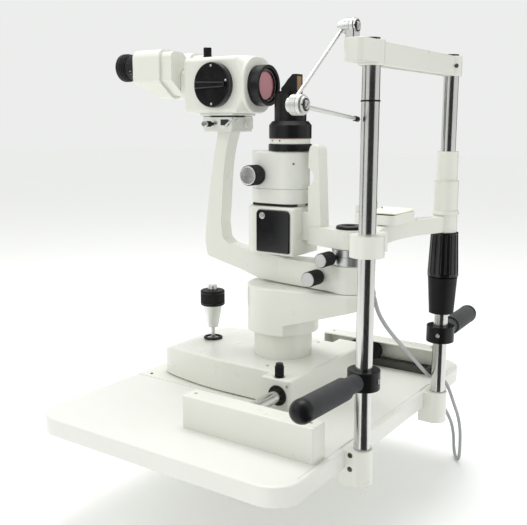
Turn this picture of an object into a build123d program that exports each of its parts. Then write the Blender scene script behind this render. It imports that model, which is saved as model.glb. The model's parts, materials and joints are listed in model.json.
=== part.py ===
from build123d import *
import math
import os

# Slit lamp on a table board.  Millimetres.  Origin at the centre of the board's underside,
# +X towards the patient, +Y towards the examiner's left, +Z up.

# ---- driving dimensions ----
BOARD_X, BOARD_Y, BOARD_T, BOARD_R = 400.0, 540.0, 25.0, 38.0
BOLT_SPACING, BOLT_R, BOLT_DEPTH = 120.0, 4.0, 16.0
GLIDE_T, GLIDE_HALF_Y = 1.0, 72.0
POST_X, POST_Y, POST_R = 214.0, 120.0, 10.0
POST_LOW, POST_HIGH = -18.0, 493.0
CLAMP_X, CLAMP_BACK, CLAMP_R = 210.0, 192.0, 17.0
CLAMP_LOW, CLAMP_HIGH = -20.0, 24.5
CLAMP_SCREWS = (19.5, 2.0)      # heights of the clamp's screws
BAR_LOW, BAR_HIGH, BAR_W = 469.0, 495.0, 16.0
GRIP_Z, GRIP_R, COLLAR_R, COLLAR_H = 111.5, 13.5, 19.5, 23.5
GRIP_TURN = 2.6                 # degrees that each grip is turned towards the examiner
CHIN_LOW, CHIN_HIGH = 257.0, 282.0
RUN = 0.06                      # radial clearance of a running fit
GAP = 0.4                       # axial clearance between turning pieces

OFFSET_Y = 20.0                 # the instrument stands this far off the board's middle
AXLE_X, AXLE_Z, AXLE_R = 72.0, 51.0, 8.5
GEAR_MODULE, GEAR_TEETH = 1.35, 20
RAIL_IN, RAIL_OUT, RAIL_HIGH, RAIL_X0, RAIL_X1 = 166.0, 194.0, 68.5, -4.0, 190.5
RACK_IN, RACK_OUT, RACK_X0, RACK_X1 = 174.0, 186.0, 8.0, 180.0
BASE_LOW, BASE_HIGH, BASE_WALL = 28.0, 74.0, 4.0
BASE_NOSE_X, BASE_END_X, NOSE_HALF = -170.0, 92.0, 55.0
BASE_HALF, HOUSING_HALF, HOUSING_X0 = 86.0, 108.0, 46.0
JOY_X, JOY_Z = -121.0, 58.0
COL_X, COL_R, HEAD_R = 10.5, 42.5, 52.5
PIVOT_X, SHAFT_R = 119.0, 12.0
HEAD_LOW, HEAD_HIGH = 112.0, 179.0
SCOPE_HUB_LOW, SCOPE_HUB_HIGH, HUB_R = 179.5, 217.0, 28.0
SCALE_HIGH, LAMP_HUB_HIGH = 241.0, 266.0
TOWER_X, TOWER_R, TOWER_LEN = 21.0, 28.0, 31.0
SLIT_X, SLIT_Z = -15.0, 335.5
BOX_X0, BOX_X1, BOX_HALF, BOX_LOW, BOX_HIGH = -35.0, 49.0, 34.0, 224.5, 292.0
TOWER_LOW, TOWER_HIGH = 296.0, 369.0
OPTIC_Z, OBJECTIVE_Z = 460.5, 459.5
DRUM_X, DRUM_R = -84.0, 31.5
SCOPE_X0, SCOPE_X1, SCOPE_HALF = -142.0, -48.0, 35.0
SCOPE_LOW, SCOPE_HIGH = 421.0, 500.5
EYE_DY, EYE_DZ, EYE_R = 32.0, 30.5, 21.0
PD_DY = 18.7                    # prism box hinge, from the instrument's middle plane
LEAD_R = 2.5

GEAR_R = GEAR_MODULE * GEAR_TEETH / 2
TOOTH_PITCH = math.pi * GEAR_MODULE
RACK_LINE = AXLE_Z - GEAR_R
UP = (Align.CENTER, Align.CENTER, Align.MIN)
AXES = {"X": (0, 90, 0), "Y": (-90, 0, 0), "Z": (0, 0, 0)}
parts = {}


# ---- shape helpers ----
def rod(r, start, length, axis="Z"):
    """Cylinder that starts at a point and runs along plus an axis."""
    return Pos(*start) * Rot(*AXES[axis]) * Cylinder(r, length, align=UP)


def cone(r0, r1, start, length, axis="Z"):
    return Pos(*start) * Rot(*AXES[axis]) * Cone(r0, r1, length, align=UP)


def tube(r_out, r_in, start, length, axis="Z"):
    return rod(r_out, start, length, axis) - rod(r_in, start, length, axis)


def block(x0, x1, y0, y1, z0, z1):
    centre = ((x0 + x1) / 2, (y0 + y1) / 2, (z0 + z1) / 2)
    return Pos(*centre) * Box(x1 - x0, y1 - y0, z1 - z0)


def round_block(x0, x1, y0, y1, z0, z1, corner, edge=0.0):
    """Block with rounded upright corners and softened top and bottom edges."""
    solid = block(x0, x1, y0, y1, z0, z1)
    solid = fillet(solid.edges().filter_by(Axis.Z), corner)
    if edge:
        rims = solid.faces().filter_by(Axis.Z).edges()
        solid = fillet(rims, edge)
    return solid


def fluted(r, start, length, axis="Z", flutes=24, depth=0.7, soft=0.8):
    """Knob body with shallow flutes round its rim and softened ends."""
    outline = Circle(r)
    for k in range(flutes):
        turn = Rot(0, 0, 360 * k / flutes)
        outline -= turn * Pos(r + depth * 0.6, 0) * Circle(depth * 1.6)
    body = extrude(outline, length)
    ends = cone(r - soft, r + 0.01, (0, 0, 0), soft) + rod(r + 0.01, (0, 0, soft), length - 2 * soft)
    ends += cone(r + 0.01, r - soft, (0, 0, length - soft), soft)
    return Pos(*start) * Rot(*AXES[axis]) * (body & ends)


def capsule(x0, x1, r):
    """Flat outline of two half circles joined by straights, along X."""
    return Pos((x0 + x1) / 2, 0) * SlotOverall(x1 - x0 + 2 * r, 2 * r)


def prism_xz(points, y0, y1):
    """Upright plate: an X, Z outline carried from y0 to y1."""
    face = make_face(Polyline(*[(x, 0, z) for x, z in points], close=True))
    return Pos(0, y0, 0) * extrude(face, y1 - y0, dir=(0, 1, 0))


def mirror_y(shape):
    return mirror(shape, about=Plane.XZ)


def mid(shape):
    """Carry a shape drawn about Y = 0 to the instrument's middle plane."""
    return Pos(0, OFFSET_Y, 0) * shape


# ---- table board and rails ----
def table():
    board = extrude(RectangleRounded(BOARD_X, BOARD_Y, BOARD_R), BOARD_T)
    board = fillet(board.faces().filter_by(Axis.Z).edges(), 3)
    for y in (-POST_Y, POST_Y):
        board -= block(CLAMP_BACK, BOARD_X, y - CLAMP_R, y + CLAMP_R, -1, BOARD_T + 1)
    for sx in (-1, 1):
        for sy in (-1, 1):
            at = (sx * BOLT_SPACING / 2, sy * BOLT_SPACING / 2, 0)
            board -= rod(BOLT_R, at, BOLT_DEPTH)
    parts["table_board"] = board
    plate = block(-196, 60, -GLIDE_HALF_Y, GLIDE_HALF_Y, BOARD_T, BOARD_T + GLIDE_T)
    parts["glide_plate"] = chamfer(plate.edges().group_by(Axis.Z)[-1], 0.5)


def rail_cover():
    """Hood over a rack, open on its inner side and underneath, drawn on the +Y side."""
    wall = 2.5
    hood = block(RAIL_X0, RAIL_X1, RAIL_IN, RAIL_OUT, BOARD_T, RAIL_HIGH)
    hood = fillet(hood.edges().filter_by(Axis.Z), 3)
    hood = fillet(hood.edges().group_by(Axis.Z)[-1], 2.2)
    hollow = block(RAIL_X0 + wall, RAIL_X1 - wall, RAIL_IN - 1, RAIL_OUT - wall - 1.5, BOARD_T - 1,
                   RAIL_HIGH - wall)
    return hood - hollow


def rack():
    """Toothed rack whose gaps line up with the gear's teeth at rest."""
    gap_half, depth = TOOTH_PITCH * 0.29, 1.7
    top = RACK_LINE + 0.9
    bar = block(RACK_X0, RACK_X1, RACK_IN, RACK_OUT, BOARD_T, top)
    first = math.ceil((RACK_X0 + 2 - AXLE_X) / TOOTH_PITCH)
    last = math.floor((RACK_X1 - 2 - AXLE_X) / TOOTH_PITCH)
    cuts = Sketch()
    for k in range(first, last + 1):
        x = AXLE_X + k * TOOTH_PITCH
        tooth = [(x - gap_half + 0.45, top - depth - 0.3), (x + gap_half - 0.45, top - depth - 0.3),
                 (x + gap_half + 0.35, top + 1), (x - gap_half - 0.35, top + 1)]
        cuts += Polygon(*tooth, align=None)
    cutter = Pos(0, RACK_OUT + 1, 0) * Rot(90, 0, 0) * extrude(cuts, RACK_OUT - RACK_IN + 2)
    return bar - cutter


def rails():
    cover = rail_cover()
    parts["rail_covers"] = cover + mirror_y(cover)
    bar = rack()
    parts["gear_racks"] = bar + mirror_y(bar)


# ---- headrest ----
def clamp():
    """D-shaped block let into a notch in the board's edge, with two counterbores in each side."""
    body = rod(CLAMP_R, (CLAMP_X, POST_Y, CLAMP_LOW), CLAMP_HIGH - CLAMP_LOW)
    body += block(CLAMP_BACK, CLAMP_X, POST_Y - CLAMP_R, POST_Y + CLAMP_R, CLAMP_LOW, CLAMP_HIGH)
    body = fillet(body.edges().group_by(Axis.Z)[-1], 1.2)
    for z in CLAMP_SCREWS:
        body -= rod(3.4, (CLAMP_X - 3, POST_Y + CLAMP_R - 2, z), 5, "Y")
    return body - rod(POST_R, (POST_X, POST_Y, POST_LOW), 100)


def screw_head(start, axis, r=4.5, depth=3.0):
    """Round head with a hexagon socket, facing plus the axis."""
    socket = Pos(0, 0, depth * 0.4) * extrude(RegularPolygon(r * 0.5, 6), depth)
    head = rod(r, (0, 0, 0), depth) - socket
    return Pos(*start) * Rot(*AXES[axis]) * head


def posts():
    near = tube(POST_R, POST_R - 1.6, (POST_X, -POST_Y, POST_LOW), POST_HIGH - POST_LOW)
    parts["headrest_posts"] = near + mirror_y(near)
    body = clamp()
    parts["post_clamps"] = body + mirror_y(body)


GRUB = Pos(POST_X, POST_Y, 482) * Rot(0, 0, -68)       # the forehead bar's grub screw points along +X here


def forehead_bar():
    bar = block(POST_X - BAR_W / 2, POST_X + BAR_W / 2, -POST_Y, POST_Y, BAR_LOW, BAR_HIGH)
    bar = fillet(bar.edges().filter_by(Axis.Y), 2)
    bar += fillet(rod(14.5, (POST_X, -POST_Y, BAR_LOW - 0.5), BAR_HIGH - BAR_LOW + 1).edges(), 1.5)
    bar += fillet(rod(13.5, (POST_X, POST_Y, BAR_LOW), BAR_HIGH - BAR_LOW).edges(), 1.5)
    tab = block(POST_X - 13, POST_X + 13, -POST_Y - 46, -POST_Y, BAR_LOW + 2, BAR_HIGH)
    tab = fillet(tab.edges().filter_by(Axis.Z).group_by(Axis.Y)[0], 9)
    bar += fillet(tab.edges().group_by(Axis.Z)[-1], 1.5)
    for y in (-POST_Y, POST_Y):
        bar -= rod(POST_R, (POST_X, y, 0), POST_HIGH)
    bar -= GRUB * rod(2.6, (8, 0, 0), 8, "X")
    parts["forehead_bar"] = bar


def stand_screws():
    """Clamp bolts, the forehead bar's grub screw, post caps and the glide plate's screws."""
    group = GRUB * rod(2.5, (10.05, 0, 0), 2.6, "X")
    for side in (-1, 1):
        for z in CLAMP_SCREWS:
            head = screw_head((CLAMP_X - 3, POST_Y + CLAMP_R - 2, z), "Y", r=3.3, depth=1.8)
            group += head if side > 0 else mirror_y(head)
        group += rod(9, (POST_X, side * POST_Y, BAR_HIGH + (0.5 if side < 0 else 0)), 2.5)
        group += rod(2.2, (-178, side * 62, BOARD_T + GLIDE_T), 0.8)
        group += rod(2.2, (-20, side * 62, BOARD_T + GLIDE_T), 0.8)
    parts["stand_screws"] = group


def hand_grips():
    """Grips on collars round the posts, drawn on the +Y side and mirrored."""
    collar = tube(COLLAR_R, POST_R, (POST_X, POST_Y, GRIP_Z - COLLAR_H / 2), COLLAR_H)
    rims = collar.edges().filter_by(GeomType.CIRCLE).group_by(Axis.Z)
    collar = fillet(rims[0] + rims[-1], 0.8)
    tip_y = POST_Y + 126
    cap = rod(GRIP_R + 0.3, (POST_X, tip_y, GRIP_Z), 3, "Y")
    dome = Pos(POST_X, tip_y + 3, GRIP_Z) * Sphere(GRIP_R + 0.3)
    cap += dome & block(POST_X - 20, POST_X + 20, tip_y + 3, tip_y + 40, GRIP_Z - 20, GRIP_Z + 20)
    grip = rod(10.5, (POST_X, POST_Y + 18.5, GRIP_Z), 30, "Y")
    grip += rod(GRIP_R, (POST_X, POST_Y + 46, GRIP_Z), tip_y - POST_Y - 46, "Y")
    grip -= rod(COLLAR_R, (POST_X, POST_Y, GRIP_Z - 20), 40)
    turn = Pos(POST_X, POST_Y) * Rot(0, 0, GRIP_TURN) * Pos(-POST_X, -POST_Y)
    collar = turn * (collar + cap)
    grip = turn * grip
    parts["grip_collars"] = collar + mirror_y(collar)
    parts["hand_grips"] = grip + mirror_y(grip)


# ---- fixation lamp on two jointed rods ----
FIX_Y, FIX_Z = -155.0, 507.0
ELBOW_Y, ELBOW_Z = -258.0, 424.0
TIP_Y, TIP_Z = -131.0, 411.0
ROD1_X, ROD2_X = 198.0, 205.0
JOINT_X = 200.4                 # face where each joint's two halves meet


def limb(x, y0, z0, y1, z1, r):
    """Straight rod in the plane of a given X."""
    length = math.hypot(y1 - y0, z1 - z0)
    angle = math.degrees(math.atan2(z1 - z0, y1 - y0))
    return Pos(x, y0, z0) * Rot(angle, 0, 0) * Rot(*AXES["Y"]) * Cylinder(r, length, align=UP)


def slotted(r, start, depth):
    """Screw head facing +X with a straight slot."""
    x, y, z = start
    slot = block(x + depth - 0.9, x + depth + 1, y - r - 1, y + r + 1, z - 0.7, z + 0.7)
    return rod(r, start, depth, "X") - slot


def fixation():
    foot = block(203, 214, FIX_Y - 7, FIX_Y + 7, BAR_HIGH, FIX_Z - 2)
    foot = fillet(foot.edges().filter_by(Axis.Z), 2)
    bracket = foot + rod(8.2, (JOINT_X, FIX_Y, FIX_Z), 11.6, "X")
    bracket += slotted(7.2, (JOINT_X + 11.6, FIX_Y, FIX_Z), 2.5)
    bracket += rod(2.5, (193, FIX_Y, FIX_Z), 9, "X") + rod(5, (193, FIX_Y, FIX_Z), 2.4, "X")
    parts["fixation_bracket"] = bracket

    upper = rod(6.6, (JOINT_X - 4.6, FIX_Y, FIX_Z), 4.2, "X")
    upper += limb(ROD1_X, FIX_Y, FIX_Z, ELBOW_Y, ELBOW_Z, 1.9)
    upper += rod(7.0, (JOINT_X - 4.6, ELBOW_Y, ELBOW_Z), 4.2, "X")
    upper += rod(2.5, (JOINT_X - 2, ELBOW_Y, ELBOW_Z), 14.4, "X")
    upper += slotted(8.0, (JOINT_X + 12, ELBOW_Y, ELBOW_Z), 2.5)
    upper -= rod(2.5 + RUN, (190, FIX_Y, FIX_Z), 12, "X")
    parts["fixation_upper_rod"] = upper

    lower = rod(10.0, (JOINT_X, ELBOW_Y, ELBOW_Z), 11.6, "X")
    lower += limb(ROD2_X, ELBOW_Y, ELBOW_Z, TIP_Y, TIP_Z, 2.2)
    lower -= rod(2.5 + RUN, (190, ELBOW_Y, ELBOW_Z), 30, "X")
    parts["fixation_lower_rod"] = lower


# ---- chin rest ----
SLEEVE_TOP_Z = 248.0
THREAD_R = 14.5
NUT_LOW = 196.0


def chin_bar():
    """Yoke that bows towards the examiner, with a collar on each post and guide sleeves."""
    bow = [(POST_X, -POST_Y), (POST_X - 18, -62), (POST_X - 26, 0), (POST_X - 18, 62), (POST_X, POST_Y)]
    path = Spline(*bow, tangents=((-0.1, 1), (0.1, 1)))
    strip = trace(path, 14)
    bar = Pos(0, 0, CHIN_LOW + 2) * extrude(strip, CHIN_HIGH - CHIN_LOW - 3)
    bar = fillet(bar.edges().group_by(Axis.Z)[-1], 1.5)
    bar += rod(20, (POST_X, -POST_Y, CHIN_LOW), CHIN_HIGH - CHIN_LOW)
    bar += rod(16.5, (POST_X, POST_Y, CHIN_LOW + 1), CHIN_HIGH - CHIN_LOW)
    bar += block(POST_X - 13, POST_X + 6, -POST_Y, -78, CHIN_LOW + 1, CHIN_HIGH - 1)
    bar -= block(POST_X - 7, POST_X + 30, -74.5, -72, CHIN_LOW - 1, CHIN_HIGH + 1)
    bar += cone(18.7, 17.5, (POST_X, POST_Y, CHIN_HIGH + 1), 5)
    bar += rod(16.3, (POST_X, POST_Y, CHIN_HIGH + 6), 40)
    bar += rod(14.2, (POST_X, POST_Y, CHIN_HIGH + 46), 41)
    for y in (-POST_Y, POST_Y):
        bar -= rod(POST_R + RUN, (POST_X, y, CHIN_LOW - 1), 150)
    parts["chin_bar"] = bar


def chin_cup():
    """Tray for the chin, dished on top, on a short stem over the yoke."""
    cx, low = 179.0, CHIN_HIGH + 0.2
    tray = round_block(cx - 29, cx + 29, -36, 36, low, low + 12, 12)
    dish = Pos(cx - 2, 0, low + 66) * Sphere(60)
    tray -= dish
    rim = round_block(cx - 29, cx - 24, -30, 30, low, low + 22, 2.4)
    arch = Pos(cx - 40, 0, low + 44) * Rot(*AXES["X"]) * Cylinder(30, 40, align=UP)
    parts["chin_cup"] = tray + (rim - arch)


def height_nut():
    """Ribbed sleeve nut under the yoke and the smooth threaded sleeve that it climbs."""
    top = CHIN_LOW + 1 - GAP
    high = top - NUT_LOW
    wide, slim, ribs = 21.6, 18.8, 18
    nut = cone(wide, slim, (0, 0, 0), high)
    lean = math.degrees(math.atan2(wide - slim, high))
    groove = Pos(wide + 0.4, 0, 4) * Rot(0, -lean, 0) * Cylinder(1.75, high, align=UP)
    for k in range(ribs):
        nut -= Rot(0, 0, 360 * k / ribs) * groove
    nut -= rod(THREAD_R + 0.4, (0, 0, -1), high - 5)
    nut -= rod(POST_R + 0.6, (0, 0, -1), high + 2)
    parts["height_nut"] = Pos(POST_X, POST_Y, NUT_LOW) * nut
    sleeve = cone(17.2, 20.4, (0, 0, 0), NUT_LOW - 2 - 142)
    sleeve += rod(THREAD_R, (0, 0, NUT_LOW - 2 - 142), SLEEVE_TOP_Z - NUT_LOW + 2)
    sleeve -= rod(POST_R, (0, 0, -1), 120)
    parts["height_sleeve"] = Pos(POST_X, POST_Y, 142) * sleeve


# ---- cross slide ----
def gear_wheel():
    """Spur wheel with a tooth pointing straight down."""
    root, tip = GEAR_R - 1.6, GEAR_R + 0.8
    wheel = Circle(root)
    half0, half1 = TOOTH_PITCH * 0.27, TOOTH_PITCH * 0.10
    for k in range(GEAR_TEETH):
        tooth = Polygon((-half1, -tip), (half1, -tip), (half0, 1 - root), (-half0, 1 - root), align=None)
        wheel += Rot(0, 0, 360 * k / GEAR_TEETH) * tooth
    return wheel


def axle():
    wide = RACK_OUT - RACK_IN - 2
    wheel = Rot(90, 0, 0) * extrude(gear_wheel(), wide)
    wheel = Pos(AXLE_X, RACK_IN + 1 + wide, AXLE_Z) * wheel
    wheel -= rod(AXLE_R, (AXLE_X, RACK_IN, AXLE_Z), 20, "Y")
    parts["gear_wheels"] = wheel + mirror_y(wheel)
    end = RACK_OUT + 1
    parts["axle"] = rod(AXLE_R, (AXLE_X, -end, AXLE_Z), 2 * end, "Y")


def gear_guards():
    """Black plates that shield the wheels and carry the axle's ends."""
    y0, y1 = RACK_IN - 8, RACK_IN - 0.6
    plate = Pos(AXLE_X, y1, AXLE_Z) * Rot(90, 0, 0) * extrude(SlotOverall(56, 27), y1 - y0)
    plate -= rod(AXLE_R + RUN, (AXLE_X, y0 - 1, AXLE_Z), 12, "Y")
    parts["gear_guards"] = plate + mirror_y(plate)


def base_outline(inset=0.0):
    """Plan of the base: a tapering nose and a wider axle housing at the patient's end."""
    half, wide = BASE_HALF - inset, HOUSING_HALF - inset
    nose, end = BASE_NOSE_X + inset, BASE_END_X - inset
    front = NOSE_HALF - inset / 2
    step = HOUSING_X0 + inset
    side = [(step, half), (-30, half), (-95, half - 5)]
    right = Spline(side[1], side[2], (-140, half - 14), (nose, front), tangents=((-1, 0), (-0.45, -1)))
    top = Polyline((nose, -front), (nose, front))
    left = mirror(right, about=Plane.XZ)
    rest = Polyline(side[1], side[0], (step, wide), (end, wide), (end, -wide), (step, -wide), (step, -half),
                    (-30, -half))
    return make_face(Curve() + [right, top, left, rest])


def base_cover():
    body = Pos(0, 0, BASE_LOW) * extrude(base_outline(), BASE_HIGH - BASE_LOW)
    upright = body.edges().filter_by(Axis.Z)
    corners = upright.filter_by(lambda e: abs(e.center().X - BASE_END_X) < 1)
    corners += upright.filter_by(lambda e: abs(e.center().X - BASE_NOSE_X) < 1)
    body = fillet(corners, 6)
    front = BASE_NOSE_X
    slope = [(front - 5, 57), (front + 9, 66.5), (front + 32, 71.5), (front + 90, BASE_HIGH),
             (front + 90, 90), (front - 5, 90)]
    body -= prism_xz(slope, -150, 150)
    body = fillet(body.edges().group_by(Axis.Z)[-1], 3.5)
    hollow = Pos(0, 0, BASE_LOW - 1) * extrude(base_outline(BASE_WALL), 33)
    body -= hollow
    body -= rod(17.5, (JOY_X, 0, 50), 16) + rod(11, (JOY_X, 0, 60), 30)
    body -= rod(30, (COL_X, 0, 50), 40)
    body -= rod(AXLE_R + 1.5, (AXLE_X, -150, AXLE_Z), 300, "Y")
    parts["base_cover"] = mid(body)
    plate = Pos(0, 0, BASE_LOW) * extrude(base_outline(BASE_WALL + 0.02), 3)
    plate -= rod(18, (JOY_X, 0, 0), 50)
    parts["base_plate"] = mid(plate)


def base_fittings():
    y0 = HOUSING_HALF - 14
    bush = rod(AXLE_R + 1.5, (AXLE_X, y0, AXLE_Z), 14, "Y")
    bush += rod(AXLE_R + 4.5, (AXLE_X, HOUSING_HALF, AXLE_Z), 2, "Y")
    bush -= rod(AXLE_R + RUN, (AXLE_X, 0, AXLE_Z), 200, "Y")
    knob = fluted(6.2, (69, -99, BASE_HIGH + GAP), 15, flutes=20, depth=0.5)
    knob += rod(5.0, (69, -99, BASE_HIGH + GAP + 15), 3.2)
    parts["base_lock_knob"] = mid(knob)
    post = tube(COL_R, COL_R - 4, (COL_X, 0, BASE_HIGH), 58)
    post += rod(COL_R, (COL_X, 0, BASE_HIGH + 48), 8)
    post -= rod(26, (COL_X, 0, 50), 120)
    parts["column_post"] = mid(post)
    guide = tube(26, 18 + RUN, (COL_X, 0, BASE_HIGH + 30), 26)
    parts["base_bushes"] = mid(bush + mirror_y(bush) + guide)


def joystick():
    """Gimbal ring, stick with its ball foot and cross pin, and the height ring round its top."""
    ring = tube(13, 8.5, (JOY_X, 0, JOY_Z - 3), 6)
    ring += rod(2, (JOY_X - 17, 0, JOY_Z), 5, "X") + rod(2, (JOY_X + 12, 0, JOY_Z), 5, "X")
    ring -= rod(2 + RUN, (JOY_X, -20, JOY_Z), 40, "Y")
    parts["joystick_gimbal"] = mid(ring)
    lever = Pos(JOY_X, 0, 33.5) * Sphere(7)
    lever += rod(4.6, (JOY_X, 0, 34), 28) + rod(3.2, (JOY_X, 0, 60), 34)
    lever += rod(2, (JOY_X, -12, JOY_Z), 24, "Y")
    lever += cone(8, 15, (JOY_X, 0, 92), 35.1)
    lever += rod(6, (JOY_X, 0, 120), 32)
    lever += cone(7.4, 6.6, (JOY_X, 0, 151.6), 7.4)
    parts["joystick_lever"] = mid(lever)
    grip = fluted(18.8, (JOY_X, 0, 127.5), 23.6, flutes=44, depth=0.6, soft=1.2)
    grip -= rod(6 + RUN, (JOY_X, 0, 100), 80)
    parts["joystick_ring"] = mid(grip)


# ---- column head and pivot ----
def column_head():
    plan = make_hull((Pos(COL_X, 0) * Circle(HEAD_R)).edges() + (Pos(PIVOT_X, 0) * Circle(31)).edges())
    head = Pos(0, 0, HEAD_LOW) * extrude(plan, HEAD_HIGH - HEAD_LOW)
    slope = [(COL_X + 30, HEAD_LOW - 5), (COL_X + 30, 127), (PIVOT_X + 40, 162), (PIVOT_X + 40, HEAD_LOW - 5)]
    under = prism_xz(slope, -90, 90)
    head -= under - rod(HEAD_R, (COL_X, 0, HEAD_LOW - 10), 90)
    head = fillet(head.edges().group_by(Axis.Z)[-1], 3)
    head -= rod(COL_R + 1, (COL_X, 0, 50), 105)
    head -= rod(SHAFT_R, (PIVOT_X, 0, 166), 20)
    parts["column_head"] = mid(head)
    parts["column_spindle"] = mid(rod(18, (COL_X, 0, 82), 73))
    shaft = rod(SHAFT_R, (PIVOT_X, 0, 166), LAMP_HUB_HIGH + GAP - 166)
    shaft += rod(20, (PIVOT_X, 0, LAMP_HUB_HIGH + GAP), 2.2)
    parts["pivot_shaft"] = mid(shaft - rod(6, (PIVOT_X, 0, 240), 60))


# ---- microscope arm ----
def scope_arm():
    back = [(-97.5, 0, 395), (-108, 0, 345), (-117, 0, 292), (-122, 0, 255), (-124, 0, 228)]
    inner = [(-94, 0, 262), (-91, 0, 292), (-88, 0, 334), (-83, 0, 366), (-74, 0, 395)]
    foot = [(-124, 0, 228), (-120, 0, 208), (-96, 0, 202), (-57, 0, 193), (-25, 0, 183), (20, 0, 181),
            (20, 0, 218), (-39, 0, 222.2), (-80, 0, 229), (-91, 0, 238), (-94, 0, 262)]
    outline = Curve() + [Polyline(inner[-1], back[0]), Spline(*back), Polyline(*foot), Spline(*inner)]
    upright = Pos(0, -12, 0) * extrude(make_face(outline), 24, dir=(0, 1, 0))
    lower = upright.edges().filter_by(Axis.Y).filter_by(lambda e: e.center().X < -20 and e.center().Z < 300)
    upright = fillet(lower, 5)
    plan = make_hull((Pos(10, 0) * Circle(12)).edges() + (Pos(PIVOT_X, 0) * Circle(HUB_R)).edges())
    beam = Pos(0, 0, 181) * extrude(plan, 36)
    hub = rod(HUB_R, (PIVOT_X, 0, SCOPE_HUB_LOW), SCOPE_HUB_HIGH - SCOPE_HUB_LOW)
    arm = upright + beam + hub
    arm -= rod(SHAFT_R + RUN, (PIVOT_X, 0, 100), 200)
    parts["microscope_arm"] = mid(arm)
    ring = rod(25, (PIVOT_X, 0, SCOPE_HUB_HIGH), SCALE_HIGH - GAP - SCOPE_HUB_HIGH)
    ring = chamfer(ring.edges().group_by(Axis.Z)[-1], 1.2)
    parts["angle_scale_ring"] = mid(ring - rod(SHAFT_R + RUN, (PIVOT_X, 0, 100), 200))
    lock = fluted(10.6, (85.5, -56, 200.5), 27, "Y", flutes=26, depth=0.7)
    lock += rod(4, (85.5, -29, 200.5), 2.4, "Y")
    parts["scope_lock_knob"] = mid(lock)
    lamp_lock = fluted(9.8, (104, -55, 228), 26, "Y", flutes=26, depth=0.7)
    lamp_lock += rod(4, (104, -29, 228), 6.0, "Y")
    parts["lamp_lock_knob"] = mid(lamp_lock)


# ---- illumination arm and tower ----
def lamp_arm():
    plan = make_hull((Pos(PIVOT_X, 0) * Circle(HUB_R)).edges() + (Pos(66, 0) * Rectangle(14, 24)).edges())
    arm = Pos(0, 0, SCALE_HIGH) * extrude(plan, LAMP_HUB_HIGH - SCALE_HIGH)
    side = [(58, SCALE_HIGH), (80, SCALE_HIGH), (79, 276), (75, 358), (74, 378), (60, 378), (58, 370)]
    upright = prism_xz(side, -11.5, 11.5)
    upright = fillet(upright.edges().filter_by(Axis.Y).group_by(Axis.Z)[-1], 6)
    upright -= Pos(54, -20, 334) * Rot(*AXES["Y"]) * Cylinder(13, 40, align=UP)
    arm += upright
    arm += block(BOX_X1, 62, -11.5, 11.5, 246, 286)
    arm = fillet(arm.edges().group_by(Axis.Z)[-1], 2)
    arm -= rod(SHAFT_R + RUN, (PIVOT_X, 0, 100), 300)
    parts["illumination_arm"] = mid(arm)


def tower():
    box = block(BOX_X0, BOX_X1, -BOX_HALF, BOX_HALF, BOX_LOW, BOX_HIGH)
    examiner = box.edges().filter_by(Axis.Z).group_by(Axis.X)[0]
    box = fillet(examiner, 17)
    box = fillet(box.edges().filter_by(Axis.Z).group_by(Axis.X)[-1], 5)
    box = fillet(box.edges().group_by(Axis.Z)[-1], 4)
    box = fillet(box.edges().group_by(Axis.Z)[0], 2)
    box -= round_block(BOX_X0 + 4, BOX_X1 - 4, -BOX_HALF + 4, BOX_HALF - 4, BOX_LOW + 3, BOX_HIGH - 4, 10)
    box -= rod(17, (TOWER_X, 0, BOX_HIGH - 10), 20)
    parts["lamp_housing"] = mid(box)
    door = block(-12, 43, -BOX_HALF - 3.4, -BOX_HALF - 0.02, 228, 288)
    door = fillet(door.edges().filter_by(Axis.Y).group_by(Axis.Z)[-1], 7)
    door = fillet(door.edges().filter_by(Axis.Y).group_by(Axis.Z)[0], 2)
    door = fillet(door.faces().sort_by(Axis.Y)[0].edges(), 1.6)
    parts["lamp_door"] = mid(door)
    socket = rod(11, (TOWER_X, 0, BOX_LOW + 3), 18)
    bulb = rod(4.9, (TOWER_X, 0, BOX_LOW + 10), 26) + Pos(TOWER_X, 0, BOX_LOW + 36) * Sphere(7)
    parts["lamp_bulb"] = mid(socket + bulb)

    outline = capsule(TOWER_X - TOWER_LEN, TOWER_X, TOWER_R)
    inner = capsule(TOWER_X - TOWER_LEN, TOWER_X, TOWER_R - 3)
    shell = Pos(0, 0, TOWER_LOW) * extrude(outline, TOWER_HIGH - TOWER_LOW)
    shell = fillet(shell.edges().group_by(Axis.Z)[-1], 3)
    groove = outline - capsule(TOWER_X - TOWER_LEN, TOWER_X, TOWER_R - 0.9)
    shell -= Pos(0, 0, 316) * extrude(groove, 1.1)
    shell -= Pos(0, 0, TOWER_LOW + 3) * extrude(inner, TOWER_HIGH - TOWER_LOW - 7)
    spigot = tube(20, 16, (TOWER_X, 0, TOWER_HIGH - 4), 13.5)
    neck = tube(22, 17, (TOWER_X, 0, BOX_HIGH), TOWER_LOW - BOX_HIGH)
    shell += spigot + neck
    shell -= rod(16, (TOWER_X, 0, 280), 120)
    shell -= rod(3 + RUN, (SLIT_X, -60, SLIT_Z), 120, "Y")
    parts["tower_housing"] = mid(shell)
    lenses = rod(15.9, (TOWER_X, 0, 299.2), 6) + rod(15.9, (TOWER_X, 0, 392), 5)
    parts["condenser_lenses"] = mid(lenses)
    jaws = block(TOWER_X - 13, TOWER_X - 0.3, -10, 10, 340, 341)
    jaws += block(TOWER_X + 0.3, TOWER_X + 13, -10, 10, 340, 341)
    carrier = tube(18, 13.5, (TOWER_X, 0, 336), 4)
    parts["slit_jaws"] = mid(jaws + carrier)
    knob = fluted(14.3, (SLIT_X, -TOWER_R - 24.5, SLIT_Z), 23.5, "Y", flutes=36, depth=0.7, soft=1.2)
    shaft = rod(3, (SLIT_X, -TOWER_R - 2, SLIT_Z), 2 * TOWER_R + 4, "Y")
    parts["slit_knobs"] = mid(knob + mirror_y(knob) + shaft)


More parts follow.
